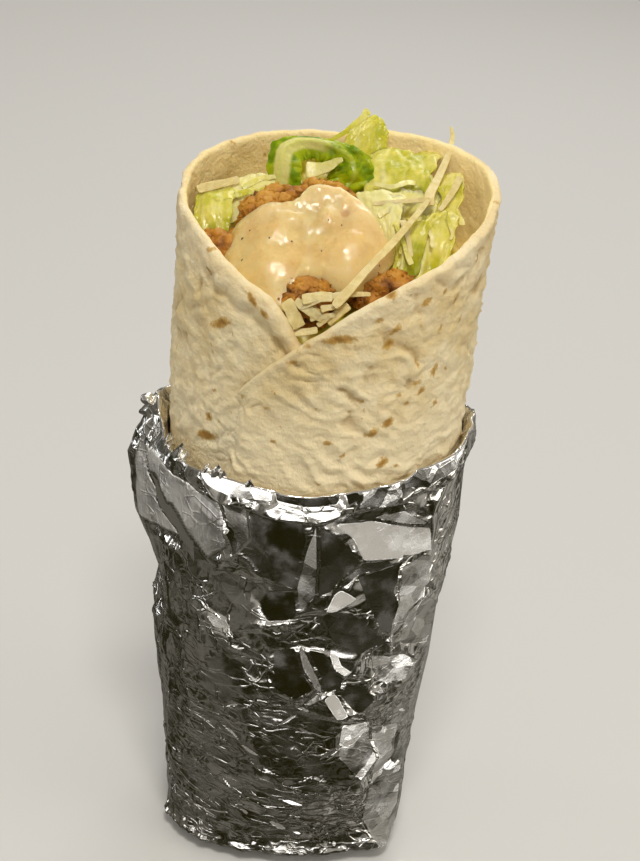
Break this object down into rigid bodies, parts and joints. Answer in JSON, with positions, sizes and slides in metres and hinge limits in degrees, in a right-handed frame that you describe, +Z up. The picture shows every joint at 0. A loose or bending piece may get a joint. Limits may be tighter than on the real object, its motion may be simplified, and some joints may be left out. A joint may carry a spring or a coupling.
{
  "type": "chicken caesar wrap",
  "caption": "Open-topped flour tortilla wrap with romaine, diced crispy chicken, creamy dressing and shredded cheese, its lower part in crumpled foil, standing on its folded end.",
  "frame": {"origin": "centre of the flat foil base that the wrap stands on", "axes": "+Z up along the wrap's length towards its open end, -Y towards the side where the two tortilla flaps cross, +X to the right of that side"},
  "size_m": [0.089, 0.0762, 0.2038],
  "materials": {
    "tortilla": "soft floury flatbread with toasted spots",
    "foil": "crumpled bright foil",
    "lettuce": "moist pale green leaf",
    "romaine": "glossy bright green leaf with a pale rib",
    "dressing": "glossy creamy dressing",
    "chicken": "browned crisp crust",
    "cheese": "pale hard cheese"
  },
  "bodies": {
    "root": {"tortilla": "tortilla", "foil": "foil", "lettuce": "lettuce", "romaine": "romaine", "dressing": "dressing", "chicken_1": "chicken", "chicken_2": "chicken", "chicken_3": "chicken", "chicken_4": "chicken", "chicken_5": "chicken", "chicken_6": "chicken", "shred_1": "cheese", "shred_2": "cheese", "shred_3": "cheese", "shred_4": "cheese", "shred_5": "cheese", "shred_6": "cheese", "shred_7": "cheese", "shred_8": "cheese", "shred_9": "cheese"}
  },
  "joints": []
}
